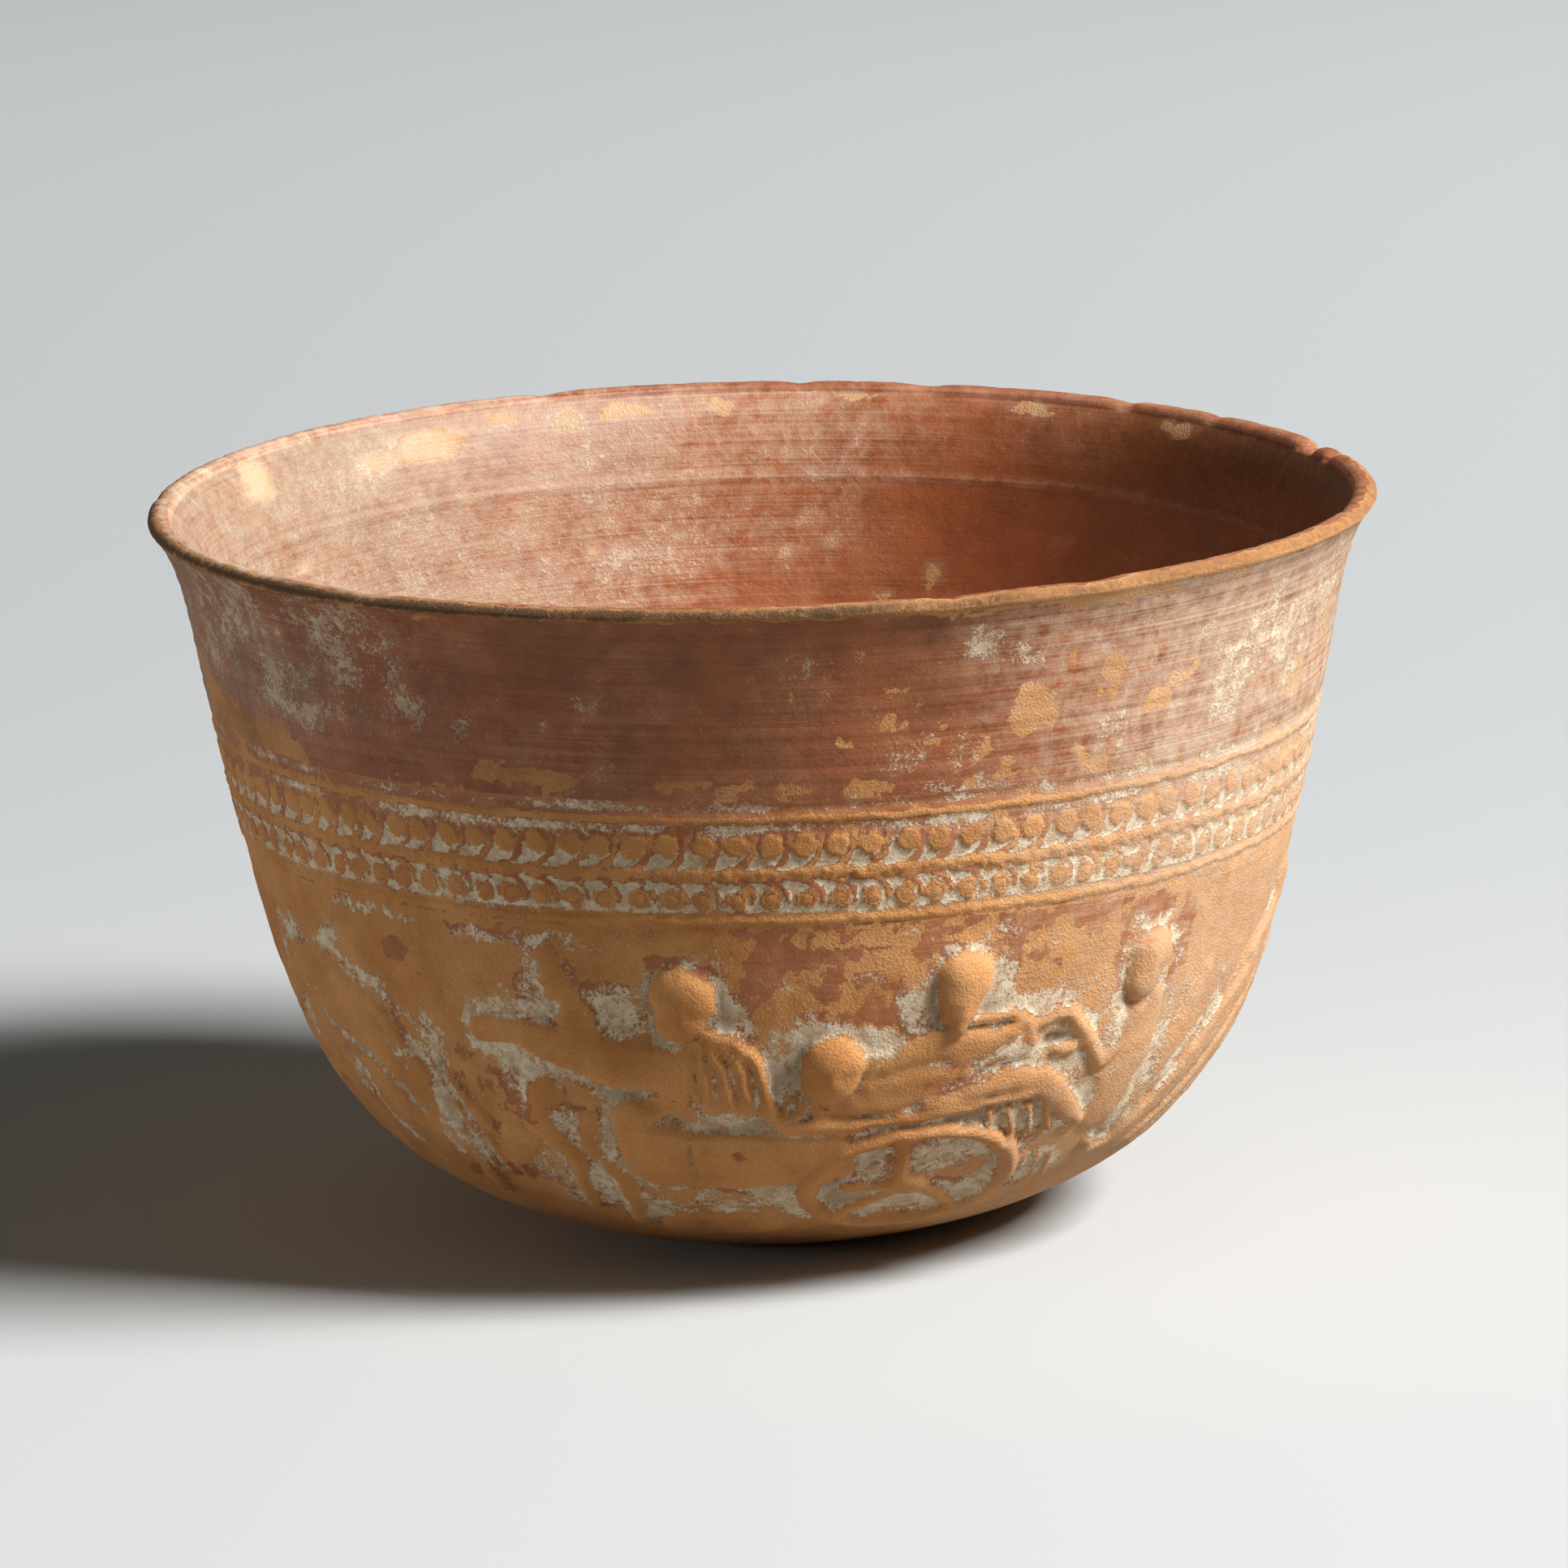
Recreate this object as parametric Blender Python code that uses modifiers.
"""Relief bowl: a body pressed in a mould, with a thrown rim lapped and luted on to it."""
import math

import bmesh
import bpy
from mathutils import Matrix, Vector

# Main sizes of the bowl, metres
HEIGHT = 0.0776
RIM_RADIUS = 0.0650
BASE_RADIUS = 0.0201
BASE_THICKNESS = 0.0042
WALL_THICKNESS = 0.0030

# Thrown rim: its height outside, how far the lip stands out, the lip itself
RIM_HEIGHT = 0.0211
RIM_FLARE = 0.0058
LIP_WIDTH = 0.0026
LIP_ROUND = 0.0010
LIP_ANGLE = 44.0

# Curve of the moulded wall: slope at the base, lean of the upper wall, fullness of each end
BASE_SLOPE = 13.5
WALL_LEAN = 12.4
BASE_FULLNESS = 0.0310
WALL_FULLNESS = 0.0346

# Lap joint between body and rim
LAP_HEIGHT = 0.0102
LAP_LEDGE = 0.0015
LAP_LAND = 0.0010
JOINT_CLEARANCE = 0.0003

# Ornament, measured down the wall from the joint
FILLET_DROP = 0.0019
UPPER_ROW_WIDTH = 0.0067
LOWER_ROW_WIDTH = 0.0056
FILLET_WIDTH = 0.0014
FILLET_RELIEF = 0.0005
BORDER_RELIEF = 0.0006
BORDER_MOTIFS = 100
FIGURE_RELIEF = 0.0013
FRIEZE_REPEATS = 2
GROUND_LINE_DROP = 0.0575
MOULD_DRAFT = 0.8

# Fineness of the turned shapes
STEPS = 48
TUBE_SIDES = 2
MM = 0.001


def clear_scene():
    """Start from an empty scene."""
    for old in list(bpy.data.objects):
        bpy.data.objects.remove(old, do_unlink=True)


def make_collection(name):
    """A named collection in the scene."""
    group = bpy.data.collections.new(name)
    bpy.context.scene.collection.children.link(group)
    return group


def make_material(name, colour, roughness):
    """A plain Principled material."""
    mat = bpy.data.materials.new(name)
    mat.use_nodes = True
    shader = mat.node_tree.nodes["Principled BSDF"]
    shader.inputs["Base Color"].default_value = (*colour, 1.0)
    shader.inputs["Roughness"].default_value = roughness
    return mat


def bezier(points, count):
    """Points along a cubic curve in the r, z plane."""
    out = []
    for i in range(count + 1):
        t = i / count
        weights = ((1 - t) ** 3, 3 * t * (1 - t) ** 2, 3 * t * t * (1 - t), t ** 3)
        r = sum(w * p[0] for w, p in zip(weights, points))
        z = sum(w * p[1] for w, p in zip(weights, points))
        out.append((r, z))
    return out


# Key points of the section, in the r, z plane
JOINT_Z = HEIGHT - RIM_HEIGHT
JOINT_R = RIM_RADIUS - RIM_FLARE
LEAN = (math.sin(math.radians(WALL_LEAN)), math.cos(math.radians(WALL_LEAN)))
SLOPE = (math.cos(math.radians(BASE_SLOPE)), math.sin(math.radians(BASE_SLOPE)))
FLARE = (math.sin(math.radians(LIP_ANGLE)), math.cos(math.radians(LIP_ANGLE)))
LIP_Z = HEIGHT - LIP_ROUND


def outer_body(count):
    """Outside of the body from the base edge up to the joint."""
    foot = (BASE_RADIUS, 0.0)
    belly = (BASE_RADIUS + BASE_FULLNESS * SLOPE[0], BASE_FULLNESS * SLOPE[1])
    upper = (JOINT_R - WALL_FULLNESS * LEAN[0], JOINT_Z - WALL_FULLNESS * LEAN[1])
    return bezier((foot, belly, upper, (JOINT_R, JOINT_Z)), count)


def inner_body(count):
    """Inside of the body from the middle of the floor up to the joint."""
    belly = 0.95 * (BASE_RADIUS + BASE_FULLNESS * SLOPE[0])
    top = (JOINT_R - WALL_THICKNESS * LEAN[1], JOINT_Z + WALL_THICKNESS * LEAN[0])
    upper = (top[0] - WALL_FULLNESS * LEAN[0], top[1] - WALL_FULLNESS * LEAN[1])
    floor = (0.0, BASE_THICKNESS)
    return bezier((floor, (belly, BASE_THICKNESS), upper, top), count)


def outer_rim(count):
    """Outside of the rim from the joint up to the lip."""
    low = (JOINT_R, JOINT_Z)
    pull = 0.38 * RIM_HEIGHT
    curl = 0.24 * RIM_HEIGHT
    lip = (RIM_RADIUS, LIP_Z)
    return bezier((low, (low[0] + pull * LEAN[0], low[1] + pull * LEAN[1]),
                   (lip[0] - curl * FLARE[0], lip[1] - curl * FLARE[1]), lip), count)


def inner_rim(count):
    """Inside of the rim from beside the joint up to the lip."""
    low = (JOINT_R - WALL_THICKNESS * LEAN[1], JOINT_Z + WALL_THICKNESS * LEAN[0])
    pull = 0.38 * RIM_HEIGHT
    curl = 0.24 * RIM_HEIGHT
    lip = (RIM_RADIUS - LIP_WIDTH, LIP_Z)
    return bezier((low, (low[0] + pull * LEAN[0], low[1] + pull * LEAN[1]),
                   (lip[0] - curl * FLARE[0], lip[1] - curl * FLARE[1]), lip), count)


def radius_at(path, z):
    """Radius of a rising path at one height."""
    for (r0, z0), (r1, z1) in zip(path, path[1:]):
        if z0 <= z <= z1:
            return r0 + (r1 - r0) * (z - z0) / (z1 - z0)
    return path[-1][0]


class Wall:
    """The outside of the body, addressed by angle and by distance down from the joint."""

    def __init__(self):
        self.path = list(reversed(outer_body(160)))
        self.length = [0.0]
        for (r0, z0), (r1, z1) in zip(self.path, self.path[1:]):
            self.length.append(self.length[-1] + math.hypot(r1 - r0, z1 - z0))

    def at(self, drop):
        """Radius, height and outward normal at one distance below the joint."""
        drop = min(max(drop, 0.0), self.length[-1] - 1e-6)
        i = 0
        while self.length[i + 1] < drop:
            i += 1
        span = self.length[i + 1] - self.length[i]
        t = (drop - self.length[i]) / span
        (r0, z0), (r1, z1) = self.path[i], self.path[i + 1]
        normal = ((z0 - z1) / span, (r1 - r0) / span)
        normal = (normal[0], normal[1])
        return r0 + (r1 - r0) * t, z0 + (z1 - z0) * t, normal

    def point(self, angle, drop, lift=0.0):
        """A point on or above the wall; angle 0 faces the front, positive to its right."""
        r, z, normal = self.at(drop)
        r += normal[0] * lift
        z += normal[1] * lift
        turn = math.radians(angle)
        return Vector((r * math.sin(turn), -r * math.cos(turn), z))

    def frame(self, angle, drop):
        """Across, down and outward directions at a place on the wall."""
        _, _, normal = self.at(drop)
        turn = math.radians(angle)
        out = Vector((normal[0] * math.sin(turn), -normal[0] * math.cos(turn), normal[1]))
        across = Vector((math.cos(turn), math.sin(turn), 0.0))
        return across, out.cross(across), out


WALL = Wall()


def mesh_object(name, group, verts, faces, mat=None):
    """A mesh object from plain lists."""
    mesh = bpy.data.meshes.new(name)
    mesh.from_pydata([tuple(v) for v in verts], [], faces)
    mesh.update()
    obj = bpy.data.objects.new(name, mesh)
    group.objects.link(obj)
    if mat:
        mesh.materials.append(mat)
    return obj


def turned(name, group, profile, closed, mat=None):
    """A turned shape: a profile at +X swept round Z by a Screw modifier."""
    count = len(profile)
    edges = [(i, i + 1) for i in range(count - 1)]
    if closed:
        edges.append((count - 1, 0))
    mesh = bpy.data.meshes.new(name)
    mesh.from_pydata([(r, 0.0, z) for r, z in profile], edges, [])
    obj = bpy.data.objects.new(name, mesh)
    group.objects.link(obj)
    if mat:
        mesh.materials.append(mat)
    screw = obj.modifiers.new("turn", "SCREW")
    screw.axis = "Z"
    screw.angle = math.tau
    screw.steps = STEPS
    screw.render_steps = STEPS
    screw.use_merge_vertices = True
    screw.merge_threshold = 0.00005
    return obj


def baked(obj, group):
    """A plain mesh copy of an object with its modifiers or curve worked out."""
    graph = bpy.context.evaluated_depsgraph_get()
    mesh = bpy.data.meshes.new_from_object(obj.evaluated_get(graph))
    work = bmesh.new()
    work.from_mesh(mesh)
    bmesh.ops.remove_doubles(work, verts=work.verts, dist=1e-6)
    bmesh.ops.recalc_face_normals(work, faces=work.faces)
    work.to_mesh(mesh)
    work.free()
    copy = bpy.data.objects.new(obj.name + "_solid", mesh)
    group.objects.link(copy)
    return copy


def tube_size(half_width, relief):
    """Radius and depth of a round bar that shows this half width and height above the wall."""
    radius = (half_width * half_width + relief * relief) / (2.0 * relief)
    return radius, radius - relief


def stroke(name, group, points, relief, turn, closed=False):
    """A limb or fold: a tapered round bar laid along the wall, both ends dipping into it.
    It is never steeper than the mould's draft, so that the pressing comes out."""
    places = [(a + turn, d * MM, w * MM) for a, d, w in points]
    knots = []
    for a, d, w in places:
        radius, depth = tube_size(w, min(relief, MOULD_DRAFT * w))
        knots.append((WALL.point(a, d, -depth), radius))
    if not closed:
        for end, near in ((0, 1), (-1, -2)):
            a, d, w = places[end]
            here = WALL.point(a, d)
            there = WALL.point(places[near][0], places[near][1])
            away = (here - there).normalized()
            radius, depth = tube_size(w, min(relief, MOULD_DRAFT * w))
            small = 0.7 * radius
            _, _, out = WALL.frame(a, d)
            tip = here + away * (0.75 * w) - out * (small + 0.35 * relief)
            if end == 0:
                knots.insert(0, (tip, small))
            else:
                knots.append((tip, small))
    curve = bpy.data.curves.new(name, "CURVE")
    curve.dimensions = "3D"
    curve.bevel_depth = 1.0
    curve.bevel_resolution = TUBE_SIDES
    curve.use_fill_caps = True
    line = curve.splines.new("POLY")
    line.points.add(len(knots) - 1)
    for knot, (place, radius) in zip(line.points, knots):
        knot.co = (*place, 1.0)
        knot.radius = radius
    line.use_cyclic_u = closed
    obj = bpy.data.objects.new(name, curve)
    group.objects.link(obj)
    solid = baked(obj, group)
    bpy.data.objects.remove(obj, do_unlink=True)
    return solid


def egg(name, group, angle, drop, half_width, half_height, relief):
    """A worn egg-shaped head or boss standing on the wall."""
    mesh = bpy.data.meshes.new(name)
    work = bmesh.new()
    bmesh.ops.create_uvsphere(work, u_segments=8, v_segments=6, radius=1.0)
    across, down, out = WALL.frame(angle, drop)
    place = WALL.point(angle, drop)
    axes = Matrix((across * half_width, down * half_height, out * relief)).transposed().to_4x4()
    bmesh.ops.transform(work, matrix=Matrix.Translation(place) @ axes, verts=work.verts)
    bmesh.ops.recalc_face_normals(work, faces=work.faces)
    work.to_mesh(mesh)
    work.free()
    obj = bpy.data.objects.new(name, mesh)
    group.objects.link(obj)
    return obj


def border_band(name, group, top, middle, bottom):
    """Both rows of bosses in one ring, two columns to each motif, its edges sunk in the wall."""
    columns = 2 * BORDER_MOTIFS
    sunk = -0.0010
    low = 0.35 * BORDER_RELIEF
    ridge = 0.75 * FILLET_RELIEF
    inset = 0.2 * FILLET_WIDTH
    levels = ((top + inset, sunk, sunk), (top + 0.45 * (middle - top), 1.25 * BORDER_RELIEF, low),
              (middle, ridge, ridge), (middle + 0.55 * (bottom - middle), low, 1.25 * BORDER_RELIEF),
              (bottom - inset, sunk, sunk))
    deep = (levels[-1][0], 3.0 * sunk, 3.0 * sunk), (levels[0][0], 3.0 * sunk, 3.0 * sunk)
    rings = []
    for drop, even, odd in levels + deep:
        rings.append([WALL.point(360.0 * i / columns, drop, odd if i % 2 else even) for i in range(columns)])
    verts = [v for ring in rings for v in ring]
    faces = []
    count = len(rings)
    for k in range(count):
        here = k * columns
        there = ((k + 1) % count) * columns
        for i in range(columns):
            j = (i + 1) % columns
            quad = (here + i, there + i, there + j, here + j)
            faces += [(quad[0], quad[1], quad[2]), (quad[0], quad[2], quad[3])]
    return mesh_object(name, group, verts, faces)


# Relief of one frieze group. Each stroke: share of the full relief, then places along it
# as angle from the front, millimetres below the frieze's upper edge and half width.
CHARIOTEER = (
    (1.0, ((-12, 16.5, 3.2), (-20, 15.6, 3.3), (-26.5, 14.6, 2.5))),
    (0.7, ((-26, 14.2, 1.8), (-31, 13.2, 1.5), (-36, 13.4, 1.1))),
    (0.8, ((-19.5, 13.5, 2.3), (-22.5, 8.0, 2.2), (-25, 3.6, 1.8))),
    (1.0, ((-8.5, 15.0, 3.4), (-6.5, 20.5, 3.4))),
    (1.2, ((-4.5, 13.8, 0.9), (-2.6, 17.5, 0.9), (-2.6, 22.0, 0.8))),
)
PASSENGER = (
    (0.9, ((10, 20.4, 2.5), (18, 19.4, 2.4), (22, 18.0, 1.8))),
    (0.9, ((17, 21.6, 1.6), (26, 21.4, 2.0), (33, 20.0, 2.5))),
)
COMPANION = (
    (0.9, ((14, 15.4, 1.9), (18, 13.2, 2.4), (24, 13.6, 2.1), (27, 13.6, 1.4))),
    (0.7, ((22, 12.0, 1.0), (28.5, 12.2, 1.0), (29.8, 16.0, 0.9), (27, 19.4, 0.8))),
)
FOLLOWER = (
    (0.8, ((46.5, 14.0, 3.0), (46.5, 21.0, 3.4), (47.5, 28.0, 2.8))),
    (1.0, ((45.5, 13.2, 1.7), (41.2, 19.0, 1.5), (38, 15.2, 1.3), (34.0, 12.9, 1.1))),
)
CHARIOT = (
    (0.8, ((-0.8, 19.2, 0.9), (0.2, 23.2, 1.0), (6, 24.2, 1.0), (14, 23.4, 1.0), (24, 22.6, 1.0), (33, 21.9, 1.0))),
    (1.0, ((33, 19.6, 1.6), (37.5, 23.6, 1.7), (42, 27.8, 1.6), (45.5, 31.0, 1.3))),
    (0.6, ((26, 24.4, 0.6), (26, 28.0, 0.6))),
    (0.6, ((29, 24.2, 0.6), (29, 28.0, 0.6))),
    (0.6, ((32, 24.0, 0.6), (32, 28.0, 0.6))),
    (0.6, ((35, 25.0, 0.6), (35, 28.2, 0.6))),
)
WHEEL_CENTRE = (18.5, 33.2)
WHEEL_SIZE = (13.5, 8.0)
WHEEL_BAR = 1.1
NEAR_HORSE = (
    (0.9, ((-19, 28.0, 4.4), (-9, 28.6, 4.8), (3, 29.4, 3.6))),
    (0.8, ((-20, 31.0, 2.1), (-22.5, 35.6, 1.5), (-21, 39.6, 1.1))),
    (0.7, ((-25, 27.5, 1.7), (-27.5, 32.5, 1.4), (-26, 38.0, 1.0))),
)
REARING_HORSE = (
    (1.0, ((-43, 20.0, 4.2), (-51, 17.0, 5.0), (-60, 11.8, 3.8), (-65, 8.2, 2.8))),
    (0.9, ((-65, 8.2, 2.6), (-69.5, 11.6, 1.9), (-72.5, 15.2, 1.3))),
    (0.9, ((-43, 22.0, 2.8), (-41.5, 29.0, 1.7), (-44.5, 34.0, 1.2))),
    (0.8, ((-48, 23.0, 2.4), (-48, 29.5, 1.6), (-52, 34.5, 1.1))),
    (0.8, ((-60, 18.0, 1.9), (-66, 20.6, 1.4), (-69.5, 25.5, 1.0))),
    (0.8, ((-57, 20.5, 1.8), (-62, 26.5, 1.3), (-65, 32.0, 1.0))),
    (0.7, ((-40, 18.5, 1.0), (-37, 26.0, 0.9), (-37, 33.0, 0.7))),
)
DRAPED_FIGURE = (
    (1.0, ((49.5, 32.0, 2.2), (57, 23.6, 3.2), (66, 15.6, 3.4), (73, 10.8, 2.8), (78, 9.0, 2.0))),
    (0.8, ((54, 35.0, 1.6), (62, 28.6, 2.2), (71, 21.8, 2.2), (78, 15.0, 1.8))),
    (0.7, ((75, 12.6, 1.4), (81, 16.6, 1.2), (86, 14.0, 0.9))),
)
STROKES = CHARIOTEER + PASSENGER + COMPANION + FOLLOWER + CHARIOT + NEAR_HORSE + REARING_HORSE + DRAPED_FIGURE

# Heads: angle, millimetres below the frieze's upper edge, half width, half height
HEADS = ((-10, 8.4, 3.5, 4.0), (6, 16.4, 3.2, 3.5), (20.5, 8.2, 3.2, 4.2), (45.3, 8.8, 3.2, 3.9), (80, 5.6, 3.0, 3.6))
HUB = 1.9


def frieze(group, top):
    """Both stamped copies of the frieze group, as separate solids to be joined to the wall."""
    lead = top / MM
    for copy in range(FRIEZE_REPEATS):
        turn = 360.0 * copy / FRIEZE_REPEATS
        for k, (share, places) in enumerate(STROKES):
            points = [(a, lead + d, w) for a, d, w in places]
            stroke(f"relief_{copy}_{k}", group, points, share * FIGURE_RELIEF, turn)
        for k, (angle, drop, wide, high) in enumerate(HEADS):
            egg(f"head_{copy}_{k}", group, angle + turn, top + drop * MM, wide * MM, high * MM, 1.35 * FIGURE_RELIEF)
        angle, drop = WHEEL_CENTRE
        ring = []
        for k in range(16):
            way = math.tau * k / 16
            place = (angle + WHEEL_SIZE[0] * math.cos(way), lead + drop + WHEEL_SIZE[1] * math.sin(way), WHEEL_BAR)
            ring.append(place)
        stroke(f"wheel_{copy}", group, ring, 0.9 * FIGURE_RELIEF, turn, closed=True)
        for k in range(4):
            way = math.radians(25.0 + 90.0 * k)
            reach = (angle + WHEEL_SIZE[0] * math.cos(way), lead + drop + WHEEL_SIZE[1] * math.sin(way), 0.7)
            points = [(angle, lead + drop, 0.8), reach]
            stroke(f"spoke_{copy}_{k}", group, points, 0.55 * FIGURE_RELIEF, turn)
        egg(f"hub_{copy}", group, angle + turn, top + drop * MM, HUB * MM, HUB * MM, 1.1 * FIGURE_RELIEF)


def wall_profile():
    """Profile of the body blank: flat top, lap face, ledge, then the outside down to the base."""
    lap_z = JOINT_Z + LAP_HEIGHT
    lap_r = radius_at(inner_rim(60), lap_z) + LAP_LAND
    profile = [(0.0, lap_z), (lap_r, lap_z), (JOINT_R - LAP_LEDGE, JOINT_Z), (JOINT_R, JOINT_Z)]
    middle = FILLET_DROP + UPPER_ROW_WIDTH
    lower = middle + LOWER_ROW_WIDTH
    ridges = ((FILLET_DROP, FILLET_WIDTH, FILLET_RELIEF), (lower, FILLET_WIDTH, FILLET_RELIEF),
              (GROUND_LINE_DROP, FILLET_WIDTH, FILLET_RELIEF))
    drops = []
    for centre, width, relief in ridges:
        drops += [(centre - 0.5 * width, 0.0), (centre - 0.22 * width, relief),
                  (centre + 0.22 * width, relief), (centre + 0.5 * width, 0.0)]
    gaps = (ridges[1][0] + 0.5 * FILLET_WIDTH, GROUND_LINE_DROP - 0.5 * FILLET_WIDTH)
    for k in range(1, 6):
        drops.append((gaps[0] + (gaps[1] - gaps[0]) * k / 6, 0.0))
    end = WALL.length[-1]
    start = GROUND_LINE_DROP + 0.5 * FILLET_WIDTH
    for k in range(1, 3):
        drops.append((start + (end - start) * k / 3, 0.0))
    for drop, lift in sorted(drops):
        r, z, normal = WALL.at(drop)
        profile.append((r + normal[0] * lift, z + normal[1] * lift))
    profile += [(BASE_RADIUS, 0.0), (0.0, 0.0)]
    return profile


def cavity_profile():
    """Profile of the inside, run on past the top of the lap."""
    lap_z = JOINT_Z + LAP_HEIGHT
    lower = inner_body(8)
    upper = inner_rim(60)
    lap_r = radius_at(upper, lap_z)
    middle_z = JOINT_Z + 0.55 * LAP_HEIGHT
    rising = lower + [(radius_at(upper, middle_z), middle_z), (lap_r, lap_z)]
    over = 0.004
    rising.append((lap_r + over * LEAN[0], lap_z + over))
    rising.append((0.0, lap_z + over))
    return list(reversed(rising))


def rim_profile():
    """Closed profile of the rim: down the outside, round the lap rebate, up the inside, over the lip."""
    outside = list(reversed(outer_rim(60)))
    inside = inner_rim(60)
    foot_z = JOINT_Z + JOINT_CLEARANCE
    lap_z = JOINT_Z + LAP_HEIGHT
    lap_r = radius_at(inside, lap_z) + LAP_LAND
    rising = list(reversed(outside))
    profile = []
    for k in range(6):
        part = (1.0 - k / 6.0) ** 0.8
        z = foot_z + (LIP_Z - foot_z) * part
        profile.append((radius_at(rising, z), z))
    profile.append((radius_at(rising, foot_z), foot_z))
    run = (lap_r - (JOINT_R - LAP_LEDGE)) / LAP_HEIGHT
    face = JOINT_R - LAP_LEDGE + JOINT_CLEARANCE * math.hypot(1.0, run)
    shoulder_z = lap_z + JOINT_CLEARANCE
    profile.append((face + run * JOINT_CLEARANCE, foot_z))
    profile.append((face + run * (LAP_HEIGHT + JOINT_CLEARANCE), shoulder_z))
    for k in range(4):
        part = k / 4.0
        z = shoulder_z + (LIP_Z - shoulder_z) * part
        profile.append((radius_at(inside, z), z))
    middle = RIM_RADIUS - 0.5 * LIP_WIDTH
    for k in range(4):
        way = math.pi * (1.0 - k / 4.0)
        profile.append((middle + 0.5 * LIP_WIDTH * math.cos(way), LIP_Z + LIP_ROUND * math.sin(way)))
    return profile


def add_boolean(obj, name, operation, group):
    """A live exact Boolean with every object of a collection."""
    cut = obj.modifiers.new(name, "BOOLEAN")
    cut.operation = operation
    cut.operand_type = "COLLECTION"
    cut.collection = group
    cut.solver = "EXACT"
    cut.use_self = False
    cut.use_hole_tolerant = False


def soften(obj):
    """Smooth shading with the real edges kept sharp."""
    for poly in obj.data.polygons:
        poly.use_smooth = True
    obj.data.set_sharp_from_angle(angle=math.radians(35.0))


def drop_slivers(work):
    """Remove stray shells left where several strokes cross."""
    left = set(work.verts)
    stray = []
    while left:
        first = left.pop()
        shell = [first]
        for vert in shell:
            for edge in vert.link_edges:
                other = edge.other_vert(vert)
                if other in left:
                    left.discard(other)
                    shell.append(other)
        if len(shell) < 60:
            stray += shell
    bmesh.ops.delete(work, geom=stray, context="VERTS")


def settle(obj, group, mat):
    """Replace a live stack by its finished mesh, welded, without stray slivers, in triangles."""
    graph = bpy.context.evaluated_depsgraph_get()
    mesh = bpy.data.meshes.new_from_object(obj.evaluated_get(graph))
    work = bmesh.new()
    work.from_mesh(mesh)
    bmesh.ops.remove_doubles(work, verts=work.verts, dist=2e-6)
    bmesh.ops.dissolve_degenerate(work, dist=2e-6, edges=work.edges)
    drop_slivers(work)
    bmesh.ops.triangulate(work, faces=work.faces)
    bmesh.ops.recalc_face_normals(work, faces=work.faces)
    work.to_mesh(mesh)
    work.free()
    name = obj.name
    bpy.data.objects.remove(obj, do_unlink=True)
    done = bpy.data.objects.new(name, mesh)
    mesh.name = name
    mesh.materials.clear()
    mesh.materials.append(mat)
    group.objects.link(done)
    soften(done)
    return done


def hide_helpers(group):
    """Keep helper solids out of the finished object."""
    for obj in group.objects:
        obj.hide_render = True
        obj.display_type = "WIRE"


def build():
    """Body and rim."""
    clear_scene()
    parts = make_collection("relief_bowl")
    added = make_collection("cutters_relief")
    removed = make_collection("cutters_cavity")
    clay = make_material("moulded_fired_clay", (0.48, 0.22, 0.10), 0.8)
    slip = make_material("thrown_slipped_clay", (0.34, 0.11, 0.07), 0.6)

    middle = FILLET_DROP + UPPER_ROW_WIDTH
    lower = middle + LOWER_ROW_WIDTH
    border_band("border", added, FILLET_DROP, middle, lower)
    frieze(added, lower)
    turned("cavity", removed, cavity_profile(), False)

    body = turned("moulded_body", parts, wall_profile(), False, clay)
    add_boolean(body, "add_relief", "UNION", added)
    add_boolean(body, "cut_cavity", "DIFFERENCE", removed)
    hide_helpers(added)
    hide_helpers(removed)
    settle(body, parts, clay)

    rim = turned("thrown_rim", parts, rim_profile(), True, slip)
    settle(rim, parts, slip)


build()
